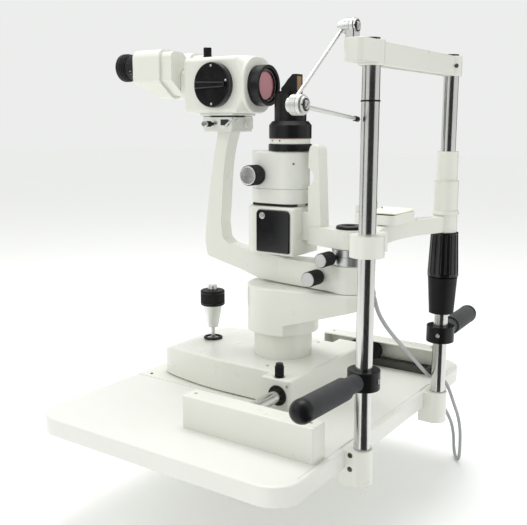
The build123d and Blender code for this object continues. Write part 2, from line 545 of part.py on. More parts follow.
def head():
    ring = tube(30.6, 20 + RUN, (TOWER_X, 0, TOWER_HIGH + GAP), 9.0)
    parts["aperture_ring"] = mid(chamfer(ring.edges().group_by(Axis.Z)[-1], 0.8))
    parts["index_ring"] = mid(tube(28.4, 16, (TOWER_X, 0, 378.8), 7.2))
    cap = rod(29.8, (TOWER_X, 0, 386), 18.5) + cone(29.8, 25.2, (TOWER_X, 0, 404.5), 5.5)
    neck = rod(22.4, (TOWER_X, 0, 410), 37)
    neck -= block(TOWER_X + 6, TOWER_X + 40, -30, 30, 431, 460)
    plate = rod(17.5, (TOWER_X - 1, 0, 446), 4.5)
    cap += neck + plate
    cap -= rod(14, (TOWER_X, 0, 380), 80)
    cap -= rod(15.9, (TOWER_X, 0, 380), 17)
    parts["head_cap"] = mid(cap)


def prism():
    """Cheeked holder on the head's plate and the slanting mirror block in it."""
    side = [(10.5, 450.6), (35.5, 450.6), (35.5, 473.3), (29, 473.3), (21, 466), (15, 459), (10.5, 455)]
    holder = prism_xz(side, -8, 8)
    holder -= prism_xz([(13.5, 449), (37, 449), (37, 471), (30, 471), (21.5, 463)], -6, 6)
    parts["prism_holder"] = mid(holder)
    glass = prism_xz([(17, 450.8), (35.2, 450.8), (35.2, 470.6), (30.2, 470.6)], -5.98, 5.98)
    parts["mirror"] = mid(glass)


# ---- microscope ----
def dovetail():
    low = block(-113, -63, -25, 25, 395, 399)
    body = round_block(-115.5, -61, -27, 27, 399, 415.5, 2)
    neck = block(-105, -72, -20, 20, 415.5, 418)
    top = round_block(-118, -58, -29, 29, 418, SCOPE_LOW, 2)
    screw = rod(5.5, (-61, 8, 406), 3.5, "X") - block(-59, -50, 7.4, 8.6, 395, 420)
    screw += rod(3.5, (-61, -14, 409), 3, "X")
    parts["dovetail_clamp"] = mid(low + body + neck + top + screw)
    knob = fluted(4.2, (-95, -43, 406), 10, "Y", flutes=14, depth=0.4)
    knob += rod(3.7, (-95, -49, 406), 6.2, "Y") + rod(2.2, (-95, -33.2, 406), 5.8, "Y")
    parts["clamp_knob"] = mid(knob)


def section(x, half_y, z0, z1, corner):
    plane = Plane(origin=(x, 0, (z0 + z1) / 2), x_dir=(0, 1, 0), z_dir=(1, 0, 0))
    return plane * RectangleRounded(2 * half_y, z1 - z0, corner)


def microscope_body():
    body = block(SCOPE_X0, SCOPE_X1, -SCOPE_HALF, SCOPE_HALF, SCOPE_LOW, SCOPE_HIGH)
    body = fillet(body.edges().filter_by(Axis.X), 7)
    body = fillet(body.faces().sort_by(Axis.X)[0].edges(), 3)
    body += loft([section(SCOPE_X1, SCOPE_HALF, SCOPE_LOW, SCOPE_HIGH, 7),
                  section(-37, 36.5, SCOPE_LOW, SCOPE_HIGH, 32)])
    boss = extrude(section(-37, 36.5, SCOPE_LOW, SCOPE_HIGH, 32), 4.5)
    body += fillet(boss.faces().sort_by(Axis.X)[-1].edges(), 2.5)
    half = SCOPE_HALF - 5
    body -= block(SCOPE_X0 + 5, SCOPE_X1 - 2, -half, half, SCOPE_LOW + 5, SCOPE_HIGH - 5)
    body -= rod(24, (-60, 0, OBJECTIVE_Z), 60, "X")
    body -= rod(8 + RUN, (DRUM_X, -60, OPTIC_Z), 120, "Y")
    body -= rod(2.5 + RUN, (-125, 0, 480), 40)
    mount = Pos(SCOPE_X0, 0, 463) * Rot(0, -90, 0) * extrude(RectangleRounded(46, 62, 12), 9.5)
    for side in (-1, 1):
        body -= rod(9, (SCOPE_X0 - 20, side * PD_DY, 462), 40, "X")
        mount -= rod(9, (SCOPE_X0 - 20, side * PD_DY, 462), 40, "X")
    parts["microscope_body"] = mid(body + mount + rod(4, (-62, 0, SCOPE_HIGH - 0.5), 1.6))
    ring = tube(28.6, 24, (-32.4, 0, OBJECTIVE_Z), 17.4, "X") + tube(24, 22, (-45, 0, OBJECTIVE_Z), 20, "X")
    parts["objective_ring"] = mid(ring)
    lens = rod(21.95, (-30, 0, OBJECTIVE_Z), 9.5, "X")
    parts["objective_lens"] = mid(fillet(lens.edges().group_by(Axis.X)[-1], 4))
    stem = rod(2.5, (-125, 0, SCOPE_HIGH - 8), 10)
    stem += fluted(6, (-125, 0, SCOPE_HIGH + 1.5), 15, flutes=18, depth=0.5)
    parts["filter_knob"] = mid(stem)


def drum():
    knob = rod(DRUM_R, (DRUM_X, -SCOPE_HALF - 9.9, OPTIC_Z), 9.5, "Y")
    knob = fillet(knob.edges().sort_by(Axis.Y)[0], 1.5)
    taper = [(DRUM_X - 26, OPTIC_Z - 5), (DRUM_X - 26, OPTIC_Z + 5), (DRUM_X + 26, OPTIC_Z + 3.4),
             (DRUM_X + 26, OPTIC_Z - 3.4)]
    bar = prism_xz(taper, -SCOPE_HALF - 15.9, -SCOPE_HALF - 9)
    bar = fillet(bar.faces().sort_by(Axis.Y)[0].edges(), 1.5)
    knob += bar
    core = rod(24.5, (DRUM_X, -27, OPTIC_Z), 54, "Y")
    core += rod(8, (DRUM_X, -SCOPE_HALF - 1, OPTIC_Z), 2 * SCOPE_HALF + 2, "Y")
    for side in (-1, 1):
        core -= rod(8.5, (DRUM_X - 30, side * 13, OPTIC_Z), 60, "X")
    parts["magnification_drum"] = mid(core + knob + mirror_y(knob))


EYE_FRONT, EYE_STEP = -227.0, -172.0    # examiner's end of the prism boxes, and where they narrow
HINGE_Z = 461.5


def prism_box(side, inset):
    """Outline of a prism box: round over the hinge and the eyepiece, squarer at its outer corner."""
    eye_z = OPTIC_Z + EYE_DZ
    circles = [(EYE_DY, eye_z, 23), (PD_DY, HINGE_Z, 18.2)]
    circles += [(EYE_DY + 11, eye_z + 11, 12), (EYE_DY + 17, 470, 6)]
    edges = ShapeList()
    for y, z, r in circles:
        edges += (Pos(side * y, z) * Circle(r - inset)).edges()
    return make_hull(edges)


def eyepieces():
    """Prism boxes on their hinge axes, each with a focusing eyepiece."""
    rear, front = SCOPE_X0 - 10, EYE_FRONT
    for name, side in (("near", -1), ("far", 1)):
        full = Plane(origin=(front, 0, 0), x_dir=(0, 1, 0), z_dir=(1, 0, 0))
        box = full * extrude(prism_box(side, 0), EYE_STEP - front)
        box = fillet(box.faces().sort_by(Axis.X)[0].edges(), 4)
        narrow = Plane(origin=(EYE_STEP, 0, 0), x_dir=(0, 1, 0), z_dir=(1, 0, 0))
        box += narrow * extrude(prism_box(side, 4), rear - EYE_STEP)
        box -= prism_xz([(front - 5, 472), (-195, 442), (-195, 430), (front - 5, 430)], -90, 90)
        box += rod(9 - RUN, (rear - 1, side * PD_DY, 462), 14, "X")
        box -= rod(13, (front - 5, side * EYE_DY, OPTIC_Z + EYE_DZ), 40, "X")
        parts["prism_box_" + name] = mid(box)
        y, z = side * EYE_DY, OPTIC_Z + EYE_DZ
        eyepiece = fluted(19.4, (front - 17.5, y, z), 17.1, "X", flutes=40, depth=0.5)
        eyepiece += rod(13 - RUN, (front - 10, y, z), 38, "X")
        eyepiece += cone(20.9, 18.0, (front - 34, y, z), 16.6, "X")
        eyepiece += cone(19.0, 20.9, (front - 38, y, z), 4.01, "X")
        eyepiece -= rod(15, (front - 45, y, z), 17, "X")
        parts["eyepiece_" + name] = mid(eyepiece)


# ---- supply lead ----
def lead():
    points = [Vector(*p) for p in LEAD_ROUTE]
    runs = [points[i + 1] - points[i] for i in range(len(points) - 1)]
    radii = []
    for a, b in zip(runs[:-1], runs[1:]):
        turn = math.radians(a.get_angle(b))
        radii.append(0.45 * min(a.length, b.length) / math.tan(turn / 2))
    print("lead radii", [round(r) for r in radii])
    path = FilletPolyline(*LEAD_ROUTE, radius=radii)
    print("lead length", round(path.length))
    parts["supply_lead"] = sweep(Plane(origin=LEAD_ROUTE[0], z_dir=runs[0]) * Circle(LEAD_R), path=path)


LEAD_ROUTE = [(214, -109, 219), (214, -98, 207), (213, -86, 186), (211, -60, 163), (209, -25, 138),
              (207, 14, 112), (205, 56, 84), (202, 98, 57), (198, 128, 40), (199, 152, 34),
              (206, 170, 24), (211, 182, 2), (212, 198, -22), (212, 218, -46), (213, 229, -73),
              (212.6, 233, -99), (211.8, 234.7, -122.5), (205.8, 243.4, -133), (197.4, 255.6, -133),
              (191.4, 264.3, -122.5), (190.6, 263.6, -101), (190, 253, -76), (188, 233, -51),
              (185, 214, -28), (182, 203, -12), (181, 201, -0.6)]


def build():
    for make in (table, rails, posts, forehead_bar, stand_screws, hand_grips, fixation, chin_bar, chin_cup,
                 height_nut, axle, gear_guards, base_cover, base_fittings, joystick, column_head, scope_arm,
                 lamp_arm, tower, head, prism, dovetail, microscope_body, drum, eyepieces, lead):
        make()
    os.makedirs("parts", exist_ok=True)
    for name, shape in parts.items():
        export_step(shape, os.path.join("parts", name + ".step"))
    print(len(parts), "nodes")


build()
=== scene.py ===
import math
import json

import bmesh
import bpy
from mathutils import Matrix, Vector


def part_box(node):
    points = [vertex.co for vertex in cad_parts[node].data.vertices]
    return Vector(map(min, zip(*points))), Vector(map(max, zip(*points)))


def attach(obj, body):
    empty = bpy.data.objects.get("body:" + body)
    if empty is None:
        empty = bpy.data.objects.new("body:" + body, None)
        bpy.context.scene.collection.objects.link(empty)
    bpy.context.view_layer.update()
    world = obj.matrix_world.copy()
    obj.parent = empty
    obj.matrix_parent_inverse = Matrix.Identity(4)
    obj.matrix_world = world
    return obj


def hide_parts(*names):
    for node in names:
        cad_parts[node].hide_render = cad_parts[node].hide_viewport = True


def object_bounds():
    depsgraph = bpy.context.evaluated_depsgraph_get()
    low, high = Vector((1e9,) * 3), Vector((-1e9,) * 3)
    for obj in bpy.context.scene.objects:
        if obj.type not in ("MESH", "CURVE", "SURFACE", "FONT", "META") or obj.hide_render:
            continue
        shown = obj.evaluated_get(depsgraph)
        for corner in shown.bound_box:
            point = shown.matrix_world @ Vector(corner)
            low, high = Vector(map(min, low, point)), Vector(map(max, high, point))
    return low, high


# Slit lamp: camera, light, floor, materials and the small visible pieces round the CAD frame.
# Lengths in metres.  +X is the patient's side, +Y the examiner's left, +Z up.

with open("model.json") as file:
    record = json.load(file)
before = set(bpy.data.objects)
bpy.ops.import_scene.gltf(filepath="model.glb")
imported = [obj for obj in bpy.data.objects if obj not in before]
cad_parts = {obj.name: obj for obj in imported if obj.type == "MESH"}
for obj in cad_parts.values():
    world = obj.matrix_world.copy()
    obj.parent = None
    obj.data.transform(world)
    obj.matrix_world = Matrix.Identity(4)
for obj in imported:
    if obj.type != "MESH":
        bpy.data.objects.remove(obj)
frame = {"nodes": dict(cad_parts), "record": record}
cad_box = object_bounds()


def middle_of(name):
    """Middle of a CAD node's box at rest."""
    low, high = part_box(name)
    return (low + high) / 2


MM = 0.001
MIDDLE = middle_of("base_cover").y                  # the instrument's middle plane
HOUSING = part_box("base_cover")[1].y - MIDDLE        # half the width over the axle housings
AXLE = middle_of("axle")
COLUMN_X = middle_of("column_post").x
PIVOT_X = middle_of("pivot_shaft").x
TOWER_X = middle_of("aperture_ring").x
OPTIC_Z = middle_of("magnification_drum").z
OBJECTIVE_Z = middle_of("objective_ring").z
BODY = 0.035                    # half the microscope body's width
CAP_R = 0.0298                  # radius of the illumination tower's cap
POST_X, POST_Y = middle_of("headrest_posts").x, middle_of("height_nut").y
COLLAR_R, COLLAR_Z = 0.0194, 0.1115     # a post's lower collar: radius, height of its screw
BOSS_R, BOSS_Z = 0.0135, middle_of("forehead_bar").z    # the boss on the forehead bar's far end
SHOULDER = (0.2004, -0.155, 0.507)      # the fixation lamp's joints
ELBOW = (0.2004, -0.258, 0.424)
SHARP = math.radians(35)        # creases steeper than this stay sharp
ON_AXIS = 1e-7                  # a profile radius below this is a point on the axis
AXES = {"X": Vector((1, 0, 0)), "Y": Vector((0, 1, 0)), "Z": Vector((0, 0, 1))}


# ---- camera, light and floor ----
def camera():
    data = bpy.data.cameras.new("camera")
    data.lens = 51.46
    data.sensor_width = 36.0
    obj = bpy.data.objects.new("camera", data)
    bpy.context.scene.collection.objects.link(obj)
    place = (0.5953, -0.8849, 0.4059)
    forward = Vector((-0.5558, 0.8114, -0.1808)).normalized()
    turn = forward.to_track_quat("-Z", "Y").to_matrix().to_4x4()
    obj.matrix_world = Matrix.Translation(place) @ turn
    bpy.context.scene.camera = obj


def area_light(name, place, target, size, power, tint=(1, 1, 1)):
    data = bpy.data.lights.new(name, "AREA")
    data.size = size
    data.energy = power
    data.color = tint
    obj = bpy.data.objects.new(name, data)
    aim = (Vector(target) - Vector(place)).to_track_quat("-Z", "Y")
    obj.matrix_world = Matrix.Translation(place) @ aim.to_matrix().to_4x4()
    bpy.context.scene.collection.objects.link(obj)


def studio():
    world = bpy.data.worlds.new("studio")
    world.use_nodes = True
    back = world.node_tree.nodes["Background"]
    back.inputs["Color"].default_value = (0.955, 0.965, 0.955, 1)
    back.inputs["Strength"].default_value = 0.88
    bpy.context.scene.world = world
    bpy.context.scene.view_settings.view_transform = "Standard"
    area_light("key", (-1.1, -1.3, 1.5), (0, 0, 0.2), 1.1, 6, (1.0, 0.995, 0.97))
    area_light("top", (-0.2, 0.3, 2.0), (0, 0, 0.1), 1.2, 23)
    grey = surface("flag_grey", (0.02, 0.02, 0.02), 0.9)
    flag("flag_right", (0.30, -0.87), (0.98, -0.22), grey)
    low = cad_box[0].z + 0.004
    card("flag_under", [(0.245, -0.19, low), (0.30, -0.87, low), (0.98, -0.22, low),
                        (0.30, 0.08, low)],
         grey)
    flag("flag_left", (-1.75, -1.50), (-1.20, -1.90), grey)
    flag("flag_back", (-0.9, 2.0), (0.9, 2.0), grey)


def flag(name, start, end, material):
    """Tall dark card between two floor points that metal parts reflect."""
    low, tall = cad_box[0].z, 2.2
    card(name, [(*start, low), (*end, low), (*end, tall), (*start, tall)], material)


def card(name, corners, material):
    """Flat card that only reflections see; the camera, the light and the shadows pass it by."""
    mesh = bpy.data.meshes.new(name)
    mesh.from_pydata(corners, [], [(0, 1, 2, 3)])
    mesh.materials.append(material)
    obj = bpy.data.objects.new(name, mesh)
    bpy.context.scene.collection.objects.link(obj)
    obj.visible_camera = False
    obj.visible_diffuse = False
    obj.visible_shadow = False


def floor():
    level = cad_box[0].z - 0.001
    mesh = bpy.data.meshes.new("floor")
    reach = 12.0
    corners = [(x * reach, y * reach, level) for x, y in ((-1, -1), (1, -1), (1, 1), (-1, 1))]
    mesh.from_pydata(corners, [], [(0, 1, 2, 3)])
    obj = bpy.data.objects.new("floor", mesh)
    bpy.context.scene.collection.objects.link(obj)
    mesh.materials.append(surface("studio_floor", (0.995, 1.0, 0.99), 0.9, bump=0.01, grain=60,
                                  mottle=0.004))


# ---- materials ----
def node(tree, kind, **sockets):
    made = tree.nodes.new(kind)
    for key, value in sockets.items():
        made.inputs[key].default_value = value
    return made


def noise(tree, scale, detail=3.0, stretch=None):
    """Noise over the piece's own coordinates, stretched along an axis if asked."""
    place = node(tree, "ShaderNodeTexCoord")
    out = place.outputs["Object"]
    if stretch:
        mapping = node(tree, "ShaderNodeMapping")
        mapping.inputs["Scale"].default_value = stretch
        tree.links.new(out, mapping.inputs["Vector"])
        out = mapping.outputs["Vector"]
    made = node(tree, "ShaderNodeTexNoise", Scale=scale, Detail=detail, Roughness=0.55)
    tree.links.new(out, made.inputs["Vector"])
    return made.outputs["Fac"]


def ranged(tree, source, low, high, start=0.0, end=1.0):
    made = node(tree, "ShaderNodeMapRange")
    made.inputs["From Min"].default_value = start
    made.inputs["From Max"].default_value = end
    made.inputs["To Min"].default_value = low
    made.inputs["To Max"].default_value = high
    tree.links.new(source, made.inputs["Value"])
    return made.outputs["Result"]


def product(tree, a, b):
    made = node(tree, "ShaderNodeMath")
    made.operation = "MULTIPLY"
    tree.links.new(a, made.inputs[0])
    tree.links.new(b, made.inputs[1])
    return made.outputs[0]


def mixed(tree, factor, a, b):
    made = tree.nodes.new("ShaderNodeMix")
    made.data_type = "RGBA"
    for key, value in ((6, a), (7, b)):
        if isinstance(value, bpy.types.NodeSocket):
            tree.links.new(value, made.inputs[key])
        else:
            made.inputs[key].default_value = (*value[:3], 1)
    tree.links.new(factor, made.inputs[0])
    return made.outputs[2]


def surface(name, colour, rough, metal=0.0, bump=0.05, grain=900, stretch=None, spread=0.08,
            mottle=0.06, wear=None, dust=0.0, ribs=None, soften=0.5, **sockets):
    """Principled material: uneven colour and roughness, fine grain, worn edges, settled dust."""
    material = bpy.data.materials.new(name)
    material.use_nodes = True
    tree = material.node_tree
    shader = tree.nodes["Principled BSDF"]
    shader.inputs["Metallic"].default_value = metal
    for key, value in sockets.items():
        shader.inputs[key.replace("_", " ")].default_value = value
    dark = tuple(c * (1 - 2.2 * mottle) for c in colour)
    light = tuple(min(1, c * (1 + mottle)) for c in colour)
    tone = mixed(tree, ranged(tree, noise(tree, 14, 5), 0, 1, 0.32, 0.68), dark, light)
    rounded = node(tree, "ShaderNodeBevel", Radius=soften * MM)
    rounded.samples = 4
    if wear:
        geometry = node(tree, "ShaderNodeNewGeometry")
        agree = node(tree, "ShaderNodeVectorMath")
        agree.operation = "DOT_PRODUCT"
        tree.links.new(rounded.outputs[0], agree.inputs[0])
        tree.links.new(geometry.outputs["Normal"], agree.inputs[1])
        edge = ranged(tree, agree.outputs["Value"], 0, 1, 0.97, 0.80)
        patch = product(tree, edge, ranged(tree, noise(tree, 55, 4), 0, 1, 0.45, 0.62))
        tone = mixed(tree, patch, tone, wear)
    if dust:
        geometry = node(tree, "ShaderNodeNewGeometry")
        split = node(tree, "ShaderNodeSeparateXYZ")
        tree.links.new(geometry.outputs["Normal"], split.inputs[0])
        lying = ranged(tree, split.outputs["Z"], 0, dust, 0.6, 1.0)
        patch = product(tree, lying, ranged(tree, noise(tree, 90, 6), 0.2, 1, 0.35, 0.7))
        tone = mixed(tree, patch, tone, DUST)
    tree.links.new(tone, shader.inputs["Base Color"])
    cloudy = ranged(tree, noise(tree, 38, 6), rough - spread / 2, rough + spread, 0.3, 0.75)
    tree.links.new(cloudy, shader.inputs["Roughness"])
    height = noise(tree, grain, 4, stretch)
    if ribs:
        height = ribbed(tree, height, *ribs)
    relief = node(tree, "ShaderNodeBump")
    relief.inputs["Strength"].default_value = min(1.0, bump * 6)
    relief.inputs["Distance"].default_value = bump * MM
    tree.links.new(height, relief.inputs["Height"])
    tree.links.new(rounded.outputs[0], relief.inputs["Normal"])
    tree.links.new(relief.outputs["Normal"], shader.inputs["Normal"])
    return material


def ribbed(tree, fine, axis, count_per_metre):
    """Adds fine turning grooves, or knurling, across one axis to a height."""
    place = node(tree, "ShaderNodeTexCoord")
    wave = tree.nodes.new("ShaderNodeTexWave")
    wave.bands_direction = axis
    wave.inputs["Scale"].default_value = count_per_metre / 20
    wave.inputs["Distortion"].default_value = 0.4
    tree.links.new(place.outputs["Object"], wave.inputs["Vector"])
    total = node(tree, "ShaderNodeMath")
    total.operation = "ADD"
    tree.links.new(fine, total.inputs[0])
    tree.links.new(wave.outputs["Fac"], total.inputs[1])
    return total.outputs[0]


def glass(name, tint, coat_tint=None):
    """Lens glass with faint smears, and a coloured anti-glare coating where asked."""
    material = surface(name, tint, 0.03, bump=0.004, grain=120, spread=0.03, mottle=0.02)
    shader = material.node_tree.nodes["Principled BSDF"]
    shader.inputs["IOR"].default_value = 1.52
    if coat_tint:
        shader.inputs["Transmission Weight"].default_value = 0.35
        shader.inputs["Coat Weight"].default_value = 1.0
        shader.inputs["Coat Roughness"].default_value = 0.03
        shader.inputs["Coat Tint"].default_value = (*coat_tint, 1)
    else:
        shader.inputs["Transmission Weight"].default_value = 0.9
    return material


CREAM = (0.76, 0.765, 0.70)
DUST = (0.62, 0.60, 0.56)
M = {
    "board_laminate": surface("board_laminate", (0.77, 0.775, 0.73), 0.34, bump=0.03, grain=1500,
                              mottle=0.006, dust=0.015, spread=0.1, Coat_Weight=0.15,
                              Coat_Roughness=0.25),
    "cream_paint": surface("cream_paint", CREAM, 0.30, bump=0.03, grain=520, mottle=0.006,
                           wear=(0.69, 0.69, 0.64), dust=0.012, Coat_Weight=0.25,
                           Coat_Roughness=0.2),
    "pale_grey_paint": surface("pale_grey_paint", (0.74, 0.75, 0.70), 0.34, bump=0.03, grain=560,
                               mottle=0.007, wear=(0.66, 0.67, 0.63), dust=0.012, Coat_Weight=0.2,
                               Coat_Roughness=0.25),
    "white_plastic": surface("white_plastic", (0.78, 0.78, 0.72), 0.38, bump=0.02, grain=900,
                             mottle=0.006, dust=0.012, spread=0.1),
    "chrome": surface("chrome", (0.66, 0.66, 0.645), 0.19, metal=1.0, bump=0.006, grain=700,
                      mottle=0.03, stretch=(1, 1, 0.04), spread=0.08),
    "steel": surface("steel", (0.60, 0.60, 0.59), 0.26, metal=1.0, bump=0.012, grain=900,
                     mottle=0.05, stretch=(1, 0.05, 1), spread=0.12),
    "dark_steel": surface("dark_steel", (0.10, 0.097, 0.09), 0.38, metal=0.9, bump=0.03, grain=700,
                          mottle=0.12, wear=(0.45, 0.44, 0.42)),
    "aluminium": surface("aluminium", (0.70, 0.71, 0.70), 0.30, metal=1.0, bump=0.015, grain=800,
                         mottle=0.03, stretch=(1, 1, 12), spread=0.12, wear=(0.85, 0.85, 0.85)),
    "black_anodised": surface("black_anodised", (0.007, 0.007, 0.008), 0.34, bump=0.03, grain=1600,
                              mottle=0.1, wear=(0.07, 0.07, 0.075), dust=0.012,
                              Specular_IOR_Level=0.28),
    "black_gloss": surface("black_gloss", (0.005, 0.005, 0.006), 0.14, bump=0.01, grain=500,
                           mottle=0.08, dust=0.008, Coat_Weight=0.35, Coat_Roughness=0.08,
                           Specular_IOR_Level=0.4),
    "black_matte": surface("black_matte", (0.008, 0.008, 0.009), 0.50, bump=0.08, grain=1900,
                           mottle=0.1, wear=(0.06, 0.06, 0.065), dust=0.015,
                           Specular_IOR_Level=0.25),
    "grey_rubber": surface("grey_rubber", (0.050, 0.052, 0.055), 0.72, bump=0.35, grain=1500,
                           mottle=0.10, dust=0.02, Sheen_Weight=0.1, Sheen_Roughness=0.4,
                           Specular_IOR_Level=0.25),
    "bronze": surface("bronze", (0.50, 0.36, 0.17), 0.35, metal=1.0, bump=0.02, grain=600,
                      mottle=0.08),
    "coated_glass": glass("coated_glass", (0.66, 0.36, 0.40), coat_tint=(1.0, 0.70, 0.74)),
    "clear_glass": glass("clear_glass", (0.92, 0.95, 0.95)),
    "mirror_glass": surface("mirror_glass", (0.36, 0.20, 0.09), 0.10, metal=0.6, bump=0.004,
                            grain=90, mottle=0.2, spread=0.1),
    "lead_grey": surface("lead_grey", (0.36, 0.37, 0.375), 0.45, bump=0.05, grain=1200,
                         mottle=0.05, dust=0.05),
    "mark_white": surface("mark_white", (0.78, 0.78, 0.74), 0.5, bump=0.03, grain=1500,
                          mottle=0.05),
    # Black for printed marks, and also for the painted shade in the gaps and the slot.
    "marks_and_shade_black": surface("marks_and_shade_black", (0.015, 0.015, 0.015), 0.5, bump=0.03, grain=1500,
                          mottle=0.05),
    "spun_steel": surface("spun_steel", (0.62, 0.62, 0.61), 0.28, metal=1.0, bump=0.03, grain=1400,
                          mottle=0.06, stretch=(0.1, 1, 0.1), spread=0.14),
    "paper": surface("paper", (0.86, 0.85, 0.70), 0.8, bump=0.10, grain=420, mottle=0.03),
    "knurled_black": surface("knurled_black", (0.008, 0.008, 0.009), 0.45, bump=0.25, grain=1500,
                             mottle=0.1, wear=(0.07, 0.07, 0.07), ribs=("X", 2600), dust=0.015,
                             Specular_IOR_Level=0.3),
    "drum_black": surface("drum_black", (0.006, 0.006, 0.007), 0.22, bump=0.03, grain=900,
                          mottle=0.1, wear=(0.07, 0.07, 0.07), dust=0.008, Specular_IOR_Level=0.5),
    "satin_rod": surface("satin_rod", (0.72, 0.725, 0.70), 0.38, metal=0.75, bump=0.02, grain=900,
                         mottle=0.03, stretch=(1, 0.06, 1)),
    "dark_bronze": surface("dark_bronze", (0.30, 0.13, 0.08), 0.45, metal=0.5, bump=0.02,
                           grain=600, mottle=0.1),
    "board_line": surface("board_line", (0.66, 0.66, 0.63), 0.6, bump=0.03, grain=1500,
                          mottle=0.04),
    # Grey for seam lines, and also for the painted shadow ring under the column head.
    "seam_and_shadow_grey": surface("seam_and_shadow_grey", (0.42, 0.42, 0.40), 0.6, bump=0.03, grain=1500, mottle=0.06),
    "eye_glass": surface("eye_glass", (0.03, 0.05, 0.06), 0.06, bump=0.004, grain=100, spread=0.03,
                         Coat_Weight=1.0, Coat_Roughness=0.03),
}
# Finishes that differ from the one that the node's slot names.
NODE_MATERIALS = {"axle": "chrome", "joystick_lever": "aluminium",
                  "dovetail_clamp": "pale_grey_paint", "stand_screws": "dark_steel",
                  "magnification_drum": "drum_black", "eyepiece_near": "knurled_black",
                  "eyepiece_far": "knurled_black", "fixation_upper_rod": "satin_rod",
                  "fixation_lower_rod": "satin_rod", "fixation_bracket": "aluminium"}


def dress_nodes():
    """Gives each CAD node its finish, by its own name or else by its slot in the record."""
    for row in frame["record"]["subparts"]:
        obj = frame["nodes"][row["node"]]
        chosen = NODE_MATERIALS.get(row["node"], row["material_slot"])
        obj.data.materials.clear()
        obj.data.materials.append(M[chosen])


# ---- mesh helpers ----
def as_mesh(bm, name):
    mesh = bpy.data.meshes.new(name)
    bm.to_mesh(mesh)
    bm.free()
    return mesh


def circle(place, r, height, sides):
    """Points round the local Z axis of a placement."""
    angles = (2 * math.pi * k / sides for k in range(sides))
    return [place @ Vector((r * math.cos(a), r * math.sin(a), height)) for a in angles]


def piece(name, mesh, body, material, smooth=True):
    obj = bpy.data.objects.new(name, mesh)
    bpy.context.scene.collection.objects.link(obj)
    mesh.materials.append(M[material])
    if smooth:
        mesh.shade_smooth()
        mesh.set_sharp_from_angle(angle=SHARP)
    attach(obj, body)
    return obj


def basis(axis):
    """Rotation that takes +Z to a direction."""
    direction = AXES[axis] if isinstance(axis, str) else Vector(axis)
    return direction.normalized().to_track_quat("Z", "Y").to_matrix().to_4x4()


def lathe(name, profile, origin, axis, body, material, sides=56):
    """Turned piece: (radius, height) points carried round an axis; zero radii close it."""
    bm = bmesh.new()
    place = Matrix.Translation(origin) @ basis(axis)
    rings = []
    for r, h in profile:
        points = [place @ Vector((0, 0, h))] if r < ON_AXIS else circle(place, r, h, sides)
        rings.append([bm.verts.new(p) for p in points])
    pairs = list(zip(rings[:-1], rings[1:]))
    if len(rings[0]) > 1 and len(rings[-1]) > 1:
        pairs.append((rings[-1], rings[0]))
    for low, high in pairs:
        for k in range(sides):
            n = (k + 1) % sides
            corners = [low[k % len(low)], low[n % len(low)], high[n % len(high)],
                       high[k % len(high)]]
            unique = list(dict.fromkeys(corners))
            if len(unique) > 2:
                bm.faces.new(unique)
    bmesh.ops.recalc_face_normals(bm, faces=bm.faces)
    return piece(name, as_mesh(bm, name), body, material)


def knob_face(name, centre, axis, r, body, proud=0.7 * MM):
    """Turned metal disc set in a knob's end, with a rim and a shallow dish."""
    deep = -0.8 * MM
    profile = [(0, deep), (r, deep), (r, proud * 0.5), (r * 0.95, proud), (r * 0.90, proud),
               (r * 0.88, proud * 0.7), (r * 0.45, proud * 0.6), (0, proud * 0.55)]
    lathe(name, profile, centre, axis, body, "spun_steel")


def screw(name, centre, axis, r, body, material="steel", slotted=True, turn=0.3):
    """Low domed screw head with a straight slot or a square socket."""
    bm = bmesh.new()
    place = Matrix.Translation(centre) @ basis(axis) @ Matrix.Rotation(turn, 4, "Z")
    sides = 40
    h = r * 0.35
    rings = []
    for ring_r, ring_h in ((r, -0.3 * MM), (r, h * 0.5), (r * 0.86, h)):
        rings.append([bm.verts.new(p) for p in circle(place, ring_r, ring_h, sides)])
    for low, high in zip(rings[:-1], rings[1:]):
        for k in range(sides):
            n = (k + 1) % sides
            bm.faces.new([low[k], low[n], high[n], high[k]])
    bm.faces.new(rings[-1])
    bm.faces.new(list(reversed(rings[0])))
    obj = piece(name, as_mesh(bm, name), body, material)
    length, width = (2.4 * r, r * 0.13 * 2) if slotted else (r * 0.95, r * 0.95)
    carve(obj, cutter_box(place, length, width, h * 0.35, h * 2))


def cutter_box(place, length, width, low, high):
    bm = bmesh.new()
    bmesh.ops.create_cube(bm, size=1.0)
    for v in bm.verts:
        v.co = place @ Vector((v.co.x * length, v.co.y * width, low if v.co.z < 0 else high))
    obj = bpy.data.objects.new("cutter", as_mesh(bm, "cutter"))
    bpy.context.scene.collection.objects.link(obj)
    return obj


def carve(obj, cutter):
    """Cuts one object out of another and removes the cutter."""
    tool = obj.modifiers.new("cut", "BOOLEAN")
    tool.operation = "DIFFERENCE"
    tool.object = cutter
    bpy.context.view_layer.update()
    cut = bpy.data.meshes.new_from_object(obj.evaluated_get(bpy.context.evaluated_depsgraph_get()))
    obj.modifiers.clear()
    obj.data = cut
    cut.shade_smooth()
    cut.set_sharp_from_angle(angle=SHARP)
    bpy.data.objects.remove(cutter)


def slab(name, corner, size, body, material, edge=0.4 * MM, steps=3):
    """Rounded rectangular block from its low corner."""
    bm = bmesh.new()
    bmesh.ops.create_cube(bm, size=1.0)
    low, extent = Vector(corner), Vector(size)
    for v in bm.verts:
        v.co = low + Vector([(c + 0.5) * e for c, e in zip(v.co, extent)])
    reach = min(edge, min(size) * 0.45)
    bmesh.ops.bevel(bm, geom=bm.edges[:], offset=reach, segments=steps, affect="EDGES", profile=0.5)
    piece(name, as_mesh(bm, name), body, material)


